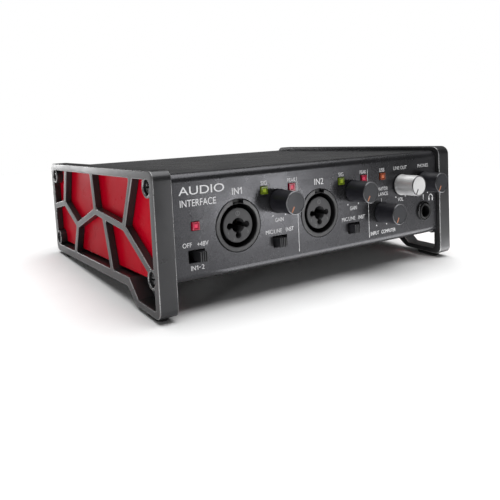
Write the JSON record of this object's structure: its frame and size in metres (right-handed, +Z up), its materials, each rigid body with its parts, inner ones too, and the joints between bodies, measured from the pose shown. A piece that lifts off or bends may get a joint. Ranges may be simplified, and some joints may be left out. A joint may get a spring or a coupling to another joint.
{
  "type": "audio interface",
  "caption": "Desktop audio interface: a sheet-metal case leaning back between ribbed side frames with red inserts, with turning knobs, slide switches, combo jacks and rear sockets.",
  "frame": {"origin": "centre of the object's box in X and Y, on the table in Z", "axes": "+X to the user's right along the front panel, +Y from the front panel to the rear panel, +Z up; the case leans back 3.6 degrees about X"},
  "size_m": [0.186, 0.1622, 0.064],
  "materials": {
    "side_frame_paint": "satin metallic grey paint",
    "side_insert_red": "glossy red",
    "cover_paint": "fine-textured dark grey powder coat",
    "chassis_paint": "matt black powder coat",
    "screw_black": "black oxide",
    "foot_rubber": "matt black rubber",
    "circuit_board_green": "green solder mask",
    "socket_black": "moulded black plastic",
    "potentiometer_can": "plated steel",
    "shaft_metal": "turned",
    "knob_silver": "brushed, satin anodised",
    "knob_black": "soft black with an orange pointer line",
    "switch_black": "moulded black plastic",
    "slider_black": "moulded black plastic",
    "lens_red": "clear tinted red",
    "lens_green": "clear tinted green",
    "lens_orange": "clear tinted orange",
    "nut_black": "black oxide",
    "nut_nickel": "nickel plated",
    "port_shell": "nickel plated"
  },
  "bodies": {
    "case": {"bottom_chassis": "chassis_paint", "combo_jack_1": "socket_black", "combo_jack_2": "socket_black", "dc_inlet": "socket_black", "front_circuit_board": "circuit_board_green", "front_top_cover": "cover_paint", "gain_1_potentiometer": "potentiometer_can", "gain_2_potentiometer": "potentiometer_can", "input_1_switch": "switch_black", "input_2_switch": "switch_black", "left_front_foot_pad": "foot_rubber", "left_rear_foot_pad": "foot_rubber", "left_screw_front_low": "screw_black", "left_screw_front_top": "screw_black", "left_screw_rear_low": "screw_black", "left_screw_rear_top": "screw_black", "left_side_frame": "side_frame_paint", "left_side_insert": "side_insert_red", "line_out_left_jack": "socket_black", "line_out_left_nut": "nut_nickel", "line_out_potentiometer": "potentiometer_can", "line_out_right_jack": "socket_black", "line_out_right_nut": "nut_nickel", "main_circuit_board": "circuit_board_green", "midi_in_socket": "socket_black", "midi_out_socket": "socket_black", "monitor_balance_potentiometer": "potentiometer_can", "peak_1_led": "lens_red", "peak_2_led": "lens_red", "phantom_power_led": "lens_red", "phantom_power_switch": "switch_black", "phones_jack": "socket_black", "phones_jack_nut": "nut_black", "phones_potentiometer": "potentiometer_can", "right_front_foot_pad": "foot_rubber", "right_rear_foot_pad": "foot_rubber", "right_screw_front_low": "screw_black", "right_screw_front_top": "screw_black", "right_screw_rear_low": "screw_black", "right_screw_rear_top": "screw_black", "right_side_frame": "side_frame_paint", "right_side_insert": "side_insert_red", "signal_1_led": "lens_green", "signal_2_led": "lens_green", "usb_c_port": "port_shell", "usb_led": "lens_orange"},
    "gain_1_knob_body": {"gain_1_knob": "knob_black", "gain_1_shaft": "shaft_metal"},
    "gain_2_knob_body": {"gain_2_knob": "knob_black", "gain_2_shaft": "shaft_metal"},
    "monitor_balance_knob_body": {"monitor_balance_knob": "knob_black", "monitor_balance_shaft": "shaft_metal"},
    "line_out_knob_body": {"line_out_knob": "knob_silver", "line_out_shaft": "shaft_metal"},
    "phones_knob_body": {"phones_knob": "knob_black", "phones_shaft": "shaft_metal"},
    "phantom_power_slider_body": {"phantom_power_slider": "slider_black"},
    "input_1_slider_body": {"input_1_slider": "slider_black"},
    "input_2_slider_body": {"input_2_slider": "slider_black"}
  },
  "joints": [
    {"name": "gain_1_knob_turn", "type": "hinge", "parent": "case", "child": "gain_1_knob_body", "pos_m": [-0.0286, -0.06933, 0.04536], "axis": [0, 0.998, -0.0628], "range_deg": [0, 300]},
    {"name": "gain_2_knob_turn", "type": "hinge", "parent": "case", "child": "gain_2_knob_body", "pos_m": [0.0189, -0.06933, 0.04536], "axis": [0, 0.998, -0.0628], "range_deg": [0, 300]},
    {"name": "monitor_balance_knob_turn", "type": "hinge", "parent": "case", "child": "monitor_balance_knob_body", "pos_m": [0.0392, -0.07017, 0.03209], "axis": [0, 0.998, -0.0628], "range_deg": [0, 300]},
    {"name": "line_out_knob_turn", "type": "hinge", "parent": "case", "child": "line_out_knob_body", "pos_m": [0.0545, -0.06933, 0.04536], "axis": [0, 0.998, -0.0628], "range_deg": [0, 300]},
    {"name": "phones_knob_turn", "type": "hinge", "parent": "case", "child": "phones_knob_body", "pos_m": [0.073, -0.06933, 0.04536], "axis": [0, 0.998, -0.0628], "range_deg": [0, 300]},
    {"name": "phantom_power_slider_slide", "type": "slide", "parent": "case", "child": "phantom_power_slider_body", "axis": [1, 0, 0], "range_m": [-0.0026, 0]},
    {"name": "input_1_slider_slide", "type": "slide", "parent": "case", "child": "input_1_slider_body", "axis": [1, 0, 0], "range_m": [0, 0.0026]},
    {"name": "input_2_slider_slide", "type": "slide", "parent": "case", "child": "input_2_slider_body", "axis": [1, 0, 0], "range_m": [0, 0.0026]}
  ]
}
